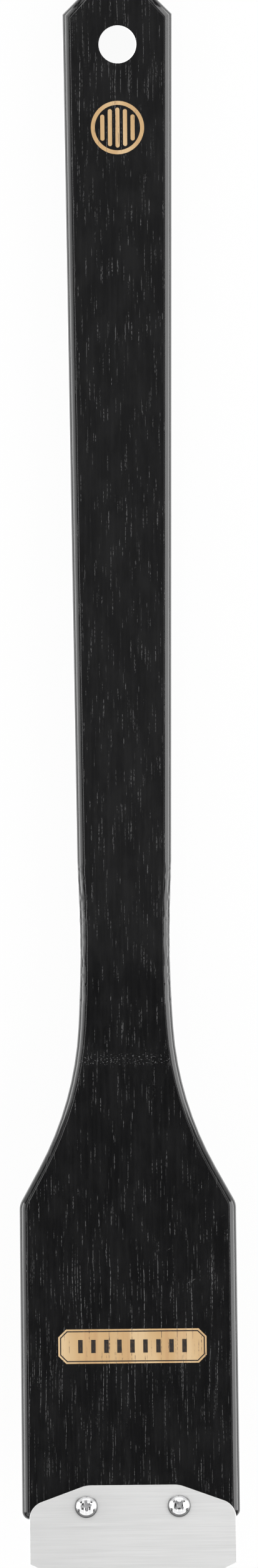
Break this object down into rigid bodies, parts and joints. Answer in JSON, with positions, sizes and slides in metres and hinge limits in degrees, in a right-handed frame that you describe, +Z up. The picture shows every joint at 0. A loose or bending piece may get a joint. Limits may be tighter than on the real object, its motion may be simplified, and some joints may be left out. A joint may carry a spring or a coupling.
{
  "type": "grill brush",
  "caption": "Long wooden grill brush: a bent handle cut in one piece with a flat block, wire tufts set in its underside and a steel scraper plate screwed across its front.",
  "frame": {"origin": "middle of the box that the lying brush fills, on the surface that carries it", "axes": "+Y towards the end of the handle, -Y towards the scraper, +Z up"},
  "size_m": [0.072, 0.5194, 0.0829],
  "materials": {
    "lacquered_wood": "black satin lacquer over open-pored hardwood",
    "scraper_steel": "brushed across its width",
    "screw_plating": "bright plated",
    "bristle_wire": "bright drawn wire",
    "anchor_wire": "plain flat wire"
  },
  "bodies": {
    "root": {"handle_block": "lacquered_wood", "scraper_plate": "scraper_steel", "scraper_screws": "screw_plating", "tuft_row_01": "bristle_wire", "anchor_row_01": "anchor_wire", "tuft_row_02": "bristle_wire", "anchor_row_02": "anchor_wire", "tuft_row_03": "bristle_wire", "anchor_row_03": "anchor_wire", "tuft_row_04": "bristle_wire", "anchor_row_04": "anchor_wire", "tuft_row_05": "bristle_wire", "anchor_row_05": "anchor_wire", "tuft_row_06": "bristle_wire", "anchor_row_06": "anchor_wire", "tuft_row_07": "bristle_wire", "anchor_row_07": "anchor_wire", "tuft_row_08": "bristle_wire", "anchor_row_08": "anchor_wire", "tuft_row_09": "bristle_wire", "anchor_row_09": "anchor_wire", "tuft_row_10": "bristle_wire", "anchor_row_10": "anchor_wire"}
  },
  "joints": []
}
